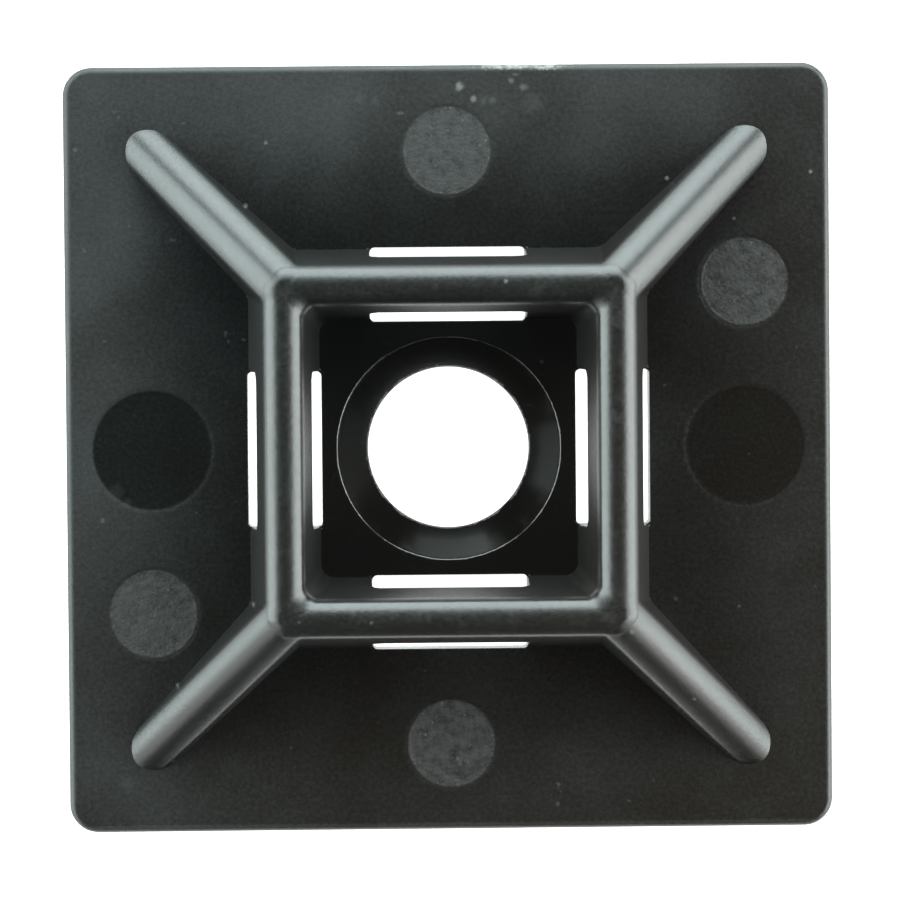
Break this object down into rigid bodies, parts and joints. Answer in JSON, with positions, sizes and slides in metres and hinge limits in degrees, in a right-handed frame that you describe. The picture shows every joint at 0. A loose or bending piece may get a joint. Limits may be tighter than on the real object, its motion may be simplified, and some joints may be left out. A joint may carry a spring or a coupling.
{
  "type": "cable tie mount",
  "caption": "Square screw-down base for cable ties: a raised square frame bridges tie windows on all sides, braced by ribs that slope to the corners, round a countersunk hole.",
  "frame": {"origin": "centre of the square plate's underside", "axes": "+Z out of the mounting surface along the screw hole, X and Y along the plate's sides"},
  "size_m": [0.028, 0.028, 0.0056],
  "materials": {
    "black_nylon": "satin moulded nylon, slightly marked"
  },
  "bodies": {
    "root": {"tie_mount": "black_nylon"}
  },
  "joints": []
}
